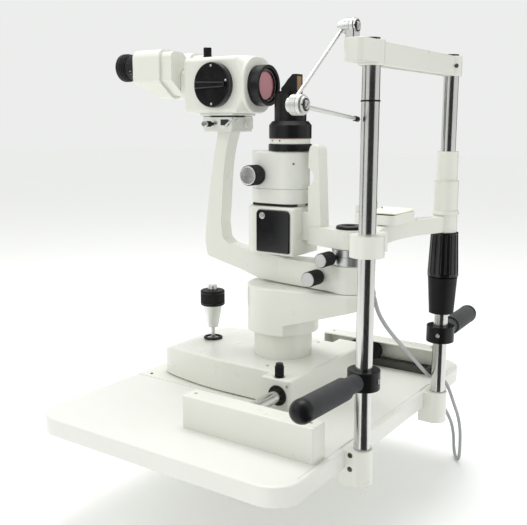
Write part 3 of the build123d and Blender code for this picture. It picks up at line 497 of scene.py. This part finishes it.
def marks_round(name, centre, axis, r, angles, height, width, body, material, low=0.0,
                lift=0.12 * MM):
    """Short painted marks standing along an axis on a cylinder, one per angle (degrees)."""
    bm = bmesh.new()
    place = Matrix.Translation(centre) @ basis(axis)
    for n, angle in enumerate(angles):
        tall = height[n % len(height)] if isinstance(height, (list, tuple)) else height
        a = math.radians(angle)
        out = Vector((math.cos(a), math.sin(a), 0))
        along = Vector((-math.sin(a), math.cos(a), 0))
        corners = []
        for depth in (-0.15 * MM, lift):
            for s, h in ((-1, low), (1, low), (1, low + tall), (-1, low + tall)):
                p = out * (r + depth) + along * (s * width / 2) + Vector((0, 0, h))
                corners.append(bm.verts.new(place @ p))
        for face in ((4, 5, 6, 7), (0, 1, 5, 4), (1, 2, 6, 5), (2, 3, 7, 6), (3, 0, 4, 7),
                     (3, 2, 1, 0)):
            bm.faces.new([corners[i] for i in face])
    bmesh.ops.recalc_face_normals(bm, faces=bm.faces)
    piece(name, as_mesh(bm, name), body, material, smooth=False)


def dots(name, places, axis, r, body, material, lift=0.15 * MM):
    """Small round painted dots lying on flat faces."""
    bm = bmesh.new()
    turn = basis(axis)
    sides = 20
    for centre in places:
        place = Matrix.Translation(centre) @ turn
        top = [bm.verts.new(p) for p in circle(place, r, lift, sides)]
        base = [bm.verts.new(p) for p in circle(place, r, -lift, sides)]
        bm.faces.new(top)
        bm.faces.new(list(reversed(base)))
        for k in range(sides):
            n = (k + 1) % sides
            bm.faces.new([base[k], base[n], top[n], top[k]])
    piece(name, as_mesh(bm, name), body, material, smooth=False)


def heading(degrees):
    """Level direction at an angle from +X."""
    return math.cos(math.radians(degrees)), math.sin(math.radians(degrees)), 0


def band(name, centre, axis, r, low, high, body, material, thick=0.25 * MM):
    """Thin ring hugging a cylinder between two heights."""
    profile = [(r - thick, low), (r + thick, low), (r + thick, high), (r - thick, high)]
    lathe(name, profile, centre, axis, body, material, sides=72)


# ---- headrest and board ----
def board_details():
    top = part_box("table_board")[1].z
    slab("board_seam", (0.1925, -0.232, top - 0.1 * MM), (0.0012, 0.464, 0.25 * MM), "stand",
         "board_line", edge=0.05 * MM, steps=1)


def stand_details():
    low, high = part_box("headrest_posts")
    post_x, post_y = (low.x + high.x) / 2, high.y - 0.010
    band("eye_level_ring", (post_x, -post_y, 0.4309), "Z", 0.01045, -0.9 * MM, 0.9 * MM, "stand",
         "black_matte", thick=0.45 * MM)
    for side, name in ((-1, "near"), (1, "far")):
        out = heading(-79 if side > 0 else 0)
        spot = (post_x + COLLAR_R * out[0], side * post_y + COLLAR_R * out[1], COLLAR_Z)
        screw("collar_screw_" + name, spot, out, 0.0028, "stand", slotted=False)
        band("collar_joint_" + name, (post_x, side * post_y, 0.0245), "Z", 0.0101, 0, 0.9 * MM,
             "stand", "seam_and_shadow_grey", thick=0.3 * MM)
    out = heading(-42)
    spot = (post_x + BOSS_R * out[0], post_y + BOSS_R * out[1], BOSS_Z)
    screw("bar_set_screw", spot, out, 0.0028, "stand", "dark_steel", slotted=False)
    lathe("cable_tie_end", [(0, -0.0145), (0.9 * MM, -0.0140), (1.1 * MM, -0.008),
                            (1.3 * MM, 0.0005), (0, 0.001)],
          (0.2145, -0.1225, -0.0195), (-0.30, 0.14, 1), "stand", "white_plastic",
          sides=20)


def chin_details():
    low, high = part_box("chin_cup")
    top = low.z + 0.0125
    bm = bmesh.new()
    nx, ny = 14, 26
    x0, x1, y0, y1 = low.x + 0.009, high.x - 0.003, low.y + 0.003, high.y - 0.003
    rows = []
    for i in range(nx + 1):
        row = []
        for j in range(ny + 1):
            u, v = i / nx, j / ny
            x = x0 + (x1 - x0) * u
            y = y0 + (y1 - y0) * v
            edge = max(0.0, abs(v - 0.5) - 0.42) * 0.02
            rise = 0.9 * MM * math.sin(math.pi * v) * (u ** 2) * 0.3
            z = top + 0.35 * MM + rise + 0.0018 * (2 * v - 1) ** 4
            row.append(bm.verts.new((x - edge * (1 if u > 0.5 else -1), y, z)))
        rows.append(row)
    for i in range(nx):
        for j in range(ny):
            bm.faces.new([rows[i][j], rows[i + 1][j], rows[i + 1][j + 1], rows[i][j + 1]])
    sheet = piece("chin_papers", as_mesh(bm, "chin_papers"), "chin_rest", "paper")
    tool = sheet.modifiers.new("stack", "SOLIDIFY")
    tool.thickness = 1.6 * MM
    tool.offset = 0
    for k, y in enumerate((-0.024, 0.024)):
        lathe(f"paper_pin_{k}",
              [(0, 0), (1.6 * MM, 0), (1.6 * MM, 2.2 * MM), (1.2 * MM, 3.0 * MM), (0, 3.3 * MM)],
              (low.x + 0.013, y, top + 0.3 * MM), "Z", "chin_rest", "steel", sides=24)
    lathe("paper_peg", [(0, 0), (1.5 * MM, 0), (1.5 * MM, 3.4 * MM), (1.1 * MM, 4.0 * MM),
                        (0, 4.2 * MM)],
          (0.2015, 0.052, 0.2810), "Z", "chin_rest", "white_plastic", sides=24)
    band("sleeve_lip", (POST_X, POST_Y, 0.3278), "Z", 0.0163, 0, 1.2 * MM, "chin_rest",
         "cream_paint")
    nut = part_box("height_nut")
    band("nut_top_ring", (POST_X, POST_Y, nut[1].z - 2.4 * MM), "Z", 0.0188, 0, 1.2 * MM,
         "chin_nut", "black_gloss")


def fixation_details():
    tip = Vector((0.205, -0.131, 0.411))
    along = (tip - Vector((tip.x, ELBOW[1], ELBOW[2]))).normalized()
    lathe("fixation_lamp_tip", [(0, -0.010), (2.6 * MM, -0.0098), (2.9 * MM, -0.009),
                                (2.9 * MM, -0.001), (2.2 * MM, 0.0), (0, 0.0002)],
          tip, along, "fixation_lamp", "black_matte", sides=28)
    angles = [12 * k for k in range(30)]
    for name, body, rides, centre, r, end in (
            ("shoulder", "stand", "stand", SHOULDER, 0.0082, 14.1 * MM),
            ("elbow", "fixation_lamp", "fixation_arm", ELBOW, 0.0100, 14.6 * MM)):
        marks_round(name + "_flutes", (centre[0] + 1.0 * MM, centre[1], centre[2]), "X", r, angles,
                    5.2 * MM, 0.55 * MM, body, "steel", lift=0.18 * MM)
        band(name + "_line", centre, "X", r, 7.2 * MM, 7.8 * MM, body, "seam_and_shadow_grey",
             thick=0.12 * MM)
        face = (centre[0] + end, centre[1], centre[2])
        lathe(name + "_face_ring",
              [(0.0046, -0.5 * MM), (0.0062, -0.5 * MM), (0.0062, 0.25 * MM), (0.0046, 0.25 * MM)],
              face, "X", rides, "marks_and_shade_black", sides=40)
        screw(name + "_screw", face, "X", 0.0046, rides, turn=0.9)


# ---- base, rails and joystick ----
def rail_details():
    low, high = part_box("rail_covers")
    inner, outer = 0.166, 0.194
    for name, side in (("near", -1), ("far", 1)):
        y = side * (inner + outer) / 2
        for k, x in enumerate((low.x + 0.012, high.x - 0.012)):
            screw(f"rail_screw_{name}_{k}", (x, y, high.z), "Z", 0.0021, "stand", turn=0.5 + k)
    for name, side in (("near", -1), ("far", 1)):
        y = MIDDLE + side * HOUSING
        lathe("axle_seal_" + name, [(0.0087, 0), (0.0136, 0), (0.0140, 0.6 * MM),
                                    (0.0136, 2.0 * MM), (0.0100, 2.4 * MM), (0.0087, 2.2 * MM)],
              (AXLE.x, y, AXLE.z), "Y" if side > 0 else (0, -1, 0), "base",
              "black_matte")
        axis = (0, side, 0)
        screw("housing_screw_" + name, (0.0865, y, 0.066), axis, 0.0021, "base", turn=0.7)
        screw("housing_screw_low_" + name, (0.0575, y, 0.036), axis, 0.0021, "base", turn=1.9)


def base_details():
    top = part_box("base_cover")[1].z
    stick = middle_of("joystick_ring").xy
    lathe("joystick_flange", [(0.0105, -0.5 * MM), (0.0146, -0.5 * MM), (0.0150, 0.6 * MM),
                              (0.0142, 1.8 * MM), (0.0112, 2.4 * MM), (0.0105, 1.8 * MM)],
          (*stick, top), "Z", "base", "black_matte")
    screw("base_lid_screw", (0.030, MIDDLE - 0.070, top), "Z", 0.0022, "base")
    screw("base_lid_screw_far", (0.030, MIDDLE + 0.070, top), "Z", 0.0022, "base", turn=1.2)
    lathe("base_lock_collar",
          [(0.0032, 0), (0.0078, 0), (0.0080, 0.15 * MM), (0.0078, 0.3 * MM), (0.0032, 0.35 * MM)],
          (0.069, MIDDLE - 0.099, top), "Z", "base", "steel")
    lever_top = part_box("joystick_lever")[1].z
    lathe("joystick_cap_ring",
          [(0.0066, 0), (0.0076, 0), (0.0078, 0.5 * MM), (0.0076, 1.0 * MM), (0.0066, 1.0 * MM)],
          (*stick, lever_top - 0.0068), "Z", "joystick", "black_matte")
    lathe("joystick_cap", [(0, 0), (0.0070, 0), (0.0068, 0.6 * MM), (0.0060, 1.1 * MM),
                           (0, 1.4 * MM)],
          (*stick, lever_top - 1.2 * MM), "Z", "joystick", "white_plastic")
    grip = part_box("joystick_ring")
    for k, z in enumerate((grip[0].z + 0.0035, grip[1].z - 0.0035)):
        band(f"joystick_groove_{k}", (*stick, z), "Z", 0.01875, -0.5 * MM, 0.5 * MM,
             "joystick_grip", "black_gloss", thick=0.25 * MM)


# ---- column and arms ----
def column_details():
    scale = (PIVOT_X, MIDDLE, middle_of("angle_scale_ring").z)
    scale_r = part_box("angle_scale_ring")[1].x - PIVOT_X
    angles = [-150 + 5 * k for k in range(29)]
    marks_round("angle_scale_marks", scale, "Z", scale_r, angles, [0.0085, 0.0050], 0.75 * MM,
                "scope_arm", "marks_and_shade_black", low=0.001)
    band("angle_scale_line", scale, "Z", scale_r, 0.6 * MM, 1.0 * MM, "scope_arm",
         "marks_and_shade_black", thick=0.12 * MM)
    # Painted shade: a thin black ring sits in the gap at the pivot hub, where shade falls between
    # the parts.
    band("hub_gap_shade", (PIVOT_X, MIDDLE, 0.1791), "Z", 0.0272, 0, 0.6 * MM, "column",
         "marks_and_shade_black")
    lathe("pivot_cap", [(0.0063, -0.3 * MM), (0.0192, -0.3 * MM), (0.0196, 0.8 * MM),
                        (0.0186, 1.8 * MM), (0.0080, 2.0 * MM), (0.0066, 1.4 * MM)],
          (PIVOT_X, MIDDLE, 0.2686 - 0.2 * MM), "Z", "column", "black_anodised")
    for name, body in (("scope_lock_knob", "scope_lock"), ("lamp_lock_knob", "lamp_lock")):
        low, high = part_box(name)
        spot = ((low.x + high.x) / 2, low.y, (low.z + high.z) / 2)
        knob_face(name + "_face", spot, (0, -1, 0), (high.x - low.x) / 2 - 0.9 * MM, body)
    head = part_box("column_head")
    screw("head_set_screw", (COLUMN_X - 0.0525 + 0.3 * MM, MIDDLE, 0.135), (-1, 0, 0), 0.0028,
          "column", slotted=False)
    band("column_shadow_ring", (COLUMN_X, MIDDLE, head[0].z - 0.4 * MM), "Z", 0.0428, 0, 0.5 * MM,
         "base", "seam_and_shadow_grey")


# ---- illumination ----
def lamp_details():
    low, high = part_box("slit_knobs")
    for name, y, direction in (("near", low.y, (0, -1, 0)), ("far", high.y, (0, 1, 0))):
        knob_face("slit_knob_face_" + name, (-0.015, y, 0.3355), direction, 0.0130, "slit_drive")
    door_low, door_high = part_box("lamp_door")
    face = door_low.y
    lathe("door_screw_seat", [(0, -0.6 * MM), (0.0047, -0.6 * MM), (0.0047, 0.25 * MM),
                              (0.0042, 0.4 * MM), (0, 0.4 * MM)],
          (door_low.x + 0.0105, face, door_high.z - 0.0085), (0, -1, 0), "lamp_arm",
          "spun_steel")
    screw("door_screw", (door_low.x + 0.0105, face - 0.3 * MM, door_high.z - 0.0085), (0, -1, 0),
          0.0036, "lamp_arm", turn=0.9)
    # Painted shade: a thin black slab fills the gap under the illumination housing, where shade
    # falls between the parts.
    slab("housing_gap_shade", (-0.0275, MIDDLE - 0.0235, 0.2922), (0.068, 0.047, 0.0034), "lamp_arm",
         "marks_and_shade_black", edge=1.0 * MM)
    ring_low, ring_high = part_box("aperture_ring")
    angles = [-150 + 15 * k for k in range(9)]
    marks_round("aperture_marks", (TOWER_X, MIDDLE, ring_low.z), "Z", ring_high.x - TOWER_X, angles,
                [0.0042, 0.0028], 0.9 * MM, "aperture", "mark_white", low=0.0030)
    dots_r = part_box("index_ring")[1].x - TOWER_X
    for k, angle in enumerate((-118, -88)):
        x, y, _ = heading(angle)
        spot = (TOWER_X + dots_r * x, MIDDLE + dots_r * y, 0.3832)
        dots(f"index_dot_{k}", [spot], (x, y, 0), 1.1 * MM, "lamp_arm", "marks_and_shade_black")
    band("cap_groove", (TOWER_X, MIDDLE, 0.4035), "Z", CAP_R, -0.3 * MM, 0.3 * MM, "lamp_arm",
         "black_gloss", thick=0.12 * MM)
    band("cap_foot_ring", (TOWER_X, MIDDLE, 0.3862), "Z", CAP_R, 0, 0.6 * MM, "lamp_arm",
         "dark_bronze", thick=0.12 * MM)
    screw("prism_screw", (0.0235, MIDDLE - 0.008, 0.4560), (0, -1, 0), 0.0014, "lamp_arm",
          material="black_anodised")
    screw("tower_screw", (0.0400, MIDDLE - 0.0209, 0.352), (0.68, -0.73, 0), 0.0016, "lamp_arm")


# ---- microscope ----
def microscope_details():
    drum_low, drum_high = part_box("magnification_drum")
    spot_y = MIDDLE - 0.0449
    drum_x = (drum_low.x + drum_high.x) / 2
    marks_r = 0.0265
    for k, angle in enumerate((90, 12, -90, 180)):
        x, z, _ = heading(angle)
        lathe(f"drum_mark_{k}", [(0, -0.3 * MM), (1.7 * MM, -0.3 * MM), (1.7 * MM, 0.25 * MM),
                                 (1.2 * MM, 0.4 * MM), (0, 0.4 * MM)],
              (drum_x + marks_r * x, spot_y, OPTIC_Z + marks_r * z), (0, -1, 0), "magnification",
              "aluminium", sides=24)
    lathe("drum_groove", [(0.0292, -0.2 * MM), (0.0300, -0.2 * MM), (0.0300, 0.12 * MM),
                          (0.0292, 0.12 * MM)],
          (drum_x, spot_y, OPTIC_Z), (0, -1, 0), "magnification", "black_gloss",
          sides=96)
    dots("drum_index_dot", [(-0.1205, MIDDLE - BODY, OPTIC_Z - 0.001)], (0, -1, 0), 0.8 * MM,
         "scope_arm", "marks_and_shade_black")
    for k, (x, z) in enumerate(((-0.134, 0.4285), (-0.134, 0.4930), (-0.054, 0.4285))):
        screw(f"scope_screw_{k}", (x, MIDDLE + BODY, z), (0, 1, 0), 0.0019, "scope_arm", turn=k)
    objective_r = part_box("objective_ring")[1].z - OBJECTIVE_Z
    for k, x in enumerate((-0.0290, -0.0250, -0.0210)):
        band(f"objective_groove_{k}", (x, MIDDLE, OBJECTIVE_Z), "X", objective_r, -0.3 * MM,
             0.3 * MM, "scope_arm", "black_gloss", thick=0.15 * MM)
    lathe("lens_retainer", [(0.0206, -0.0002), (0.0238, -0.0002), (0.0238, 0.0012),
                            (0.0226, 0.0020), (0.0210, 0.0012)],
          (-0.0205, MIDDLE, OBJECTIVE_Z), "X", "scope_arm", "black_gloss",
          sides=72)
    knob_face("filter_cap", (-0.125, MIDDLE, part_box("filter_knob")[1].z), "Z", 0.0042,
              "filter_turret", proud=0.3 * MM)
    clamp = middle_of("clamp_knob")
    clamp_end = (clamp.x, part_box("clamp_knob")[0].y, clamp.z)
    knob_face("clamp_knob_tip", clamp_end, (0, -1, 0), 0.0035, "scope_clamp")
    lathe("clamp_knob_sleeve", [(0.0030, 0), (0.0038, 0), (0.0039, 0.3 * MM), (0.0039, 5.6 * MM),
                                (0.0038, 5.9 * MM), (0.0030, 5.9 * MM)],
          clamp_end, "Y", "scope_clamp", "aluminium", sides=40)
    # Painted shade: thin black slabs in the two dovetail gaps, where shade falls between the parts.
    for k, z in enumerate((0.3992, 0.4162)):
        slab(f"dovetail_gap_shade_{k}", (-0.1135, MIDDLE - 0.0262, z), (0.0510, 0.0524, 0.9 * MM),
             "scope_arm", "marks_and_shade_black", edge=0.1 * MM, steps=1)
    # Painted shade: a black slab stands for the shade inside the dovetail's slot.
    slab("dovetail_slot_shade", (-0.0812, MIDDLE - 0.0273, 0.4040), (0.0150, 0.0016, 0.0085), "scope_arm",
         "marks_and_shade_black", edge=0.3 * MM)
    lathe("dovetail_lever", [(0, -0.0090), (1.3 * MM, -0.0088), (1.9 * MM, -0.006),
                             (1.3 * MM, 0.001), (1.2 * MM, 0.0072), (1.8 * MM, 0.0090),
                             (0, 0.0098)],
          (-0.0655, MIDDLE - 0.0288, 0.4080), (0.75, 0, 0.62), "scope_arm", "chrome",
          sides=28)
    screw("dovetail_screw", (-0.0900, MIDDLE - 0.0270, 0.4075), (0, -1, 0), 0.0030, "scope_arm")


def eyepiece_details():
    for name, side in (("near", -1), ("far", 1)):
        _, y, z = middle_of("eyepiece_" + name)
        body = "ocular_" + name
        low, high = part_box("eyepiece_" + name)
        lathe("eyecup_lip_" + name, [(0.0152, 0.0002), (0.0192, 0.0002), (0.0206, 0.0018),
                                     (0.0210, 0.0040), (0.0200, 0.0058), (0.0152, 0.0040)],
              (low.x, y, z), "X", body, "black_matte", sides=64)
        for k in range(4):
            band(f"eyecup_rib_{name}_{k}", (low.x + 0.0085 + 0.0032 * k, y, z), "X",
                 0.0207 - 0.00055 * k, 0, 1.0 * MM, body, "black_matte",
                 thick=0.3 * MM)
        lathe("eye_lens_" + name,
              [(0, 0.0), (0.0100, 0.0012), (0.0146, 0.0030), (0.0146, 0.0060), (0, 0.0060)],
              (low.x + 0.0050, y, z), "X", body, "eye_glass", sides=48)
        angles = [-160 + 14 * k for k in range(10)]
        marks_round("dioptre_marks_" + name, (high.x - 0.0375, y, z), "X", 0.0194, angles,
                    [0.0028, 0.0018], 0.5 * MM, body, "mark_white")
        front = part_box("prism_box_" + name)
        screw("prism_screw_" + name, (front[0].x + 0.040, y + side * 0.0218, 0.4795), (0, side, 0),
              0.0017, "prism_" + name, turn=side)


# ---- supply lead ----
LEAD = 0.005                    # thickness
LEAD_ROUTE = [(214, -109, 219), (214, -98, 207), (213, -86, 186), (211, -60, 163), (209, -25, 138),
              (207, 14, 112), (205, 56, 84), (202, 98, 57), (198, 128, 40), (199, 152, 34),
              (206, 170, 24), (211, 182, 2), (212, 198, -22), (212, 218, -46), (213, 229, -73),
              (212.6, 233, -99), (211.8, 234.7, -122.5), (205.8, 243.4, -133), (197.4, 255.6, -133),
              (191.4, 264.3, -122.5), (190.6, 263.6, -101), (190, 253, -76), (188, 233, -51),
              (185, 214, -28), (182, 203, -12), (181, 201, -0.6)]


def supply_lead():
    data = bpy.data.curves.new("lead", "CURVE")
    data.dimensions = "3D"
    data.bevel_depth = LEAD / 2
    data.bevel_resolution = 5
    data.resolution_u = 14
    data.use_fill_caps = True
    spline = data.splines.new("NURBS")
    spline.points.add(len(LEAD_ROUTE) - 1)
    for point, place in zip(spline.points, LEAD_ROUTE):
        point.co = (*(c * MM for c in place), 1)
    spline.order_u = 3
    spline.use_endpoint_u = True
    data.materials.append(M["lead_grey"])
    lead = bpy.data.objects.new("lead", data)
    bpy.context.scene.collection.objects.link(lead)
    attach(lead, "stand")
    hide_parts("supply_lead")
    start, second = (Vector(p) * MM for p in LEAD_ROUTE[:2])
    down = (second - start).normalized()
    relief = [(0, -0.0012), (0.0052, -0.0010), (0.0052, 0.0010)]
    for k in range(5):
        r = 0.0046 - 0.00026 * k
        relief += [(r, 0.0018 + 0.0022 * k), (r, 0.0028 + 0.0022 * k),
                   (r - 0.0006, 0.0030 + 0.0022 * k)]
    relief += [(0.0029, 0.0135), (0.0026, 0.0145), (0, 0.0145)]
    gland = lathe("lead_gland", relief, start, down, "stand", "lead_grey", sides=36)
    end = Vector(LEAD_ROUTE[-1]) * MM
    inlet = lathe("lead_inlet", [(0, 0.0008), (0.0080, 0.0008), (0.0080, -0.0016),
                                 (0.0052, -0.0030), (0.0040, -0.0100), (0.0029, -0.0140),
                                 (0, -0.0140)],
                  (end.x, end.y, -0.0008), "Z", "stand", "black_matte", sides=36)


camera()
supply_lead()
studio()
floor()
dress_nodes()
board_details()
stand_details()
chin_details()
fixation_details()
rail_details()
base_details()
column_details()
lamp_details()
microscope_details()
eyepiece_details()
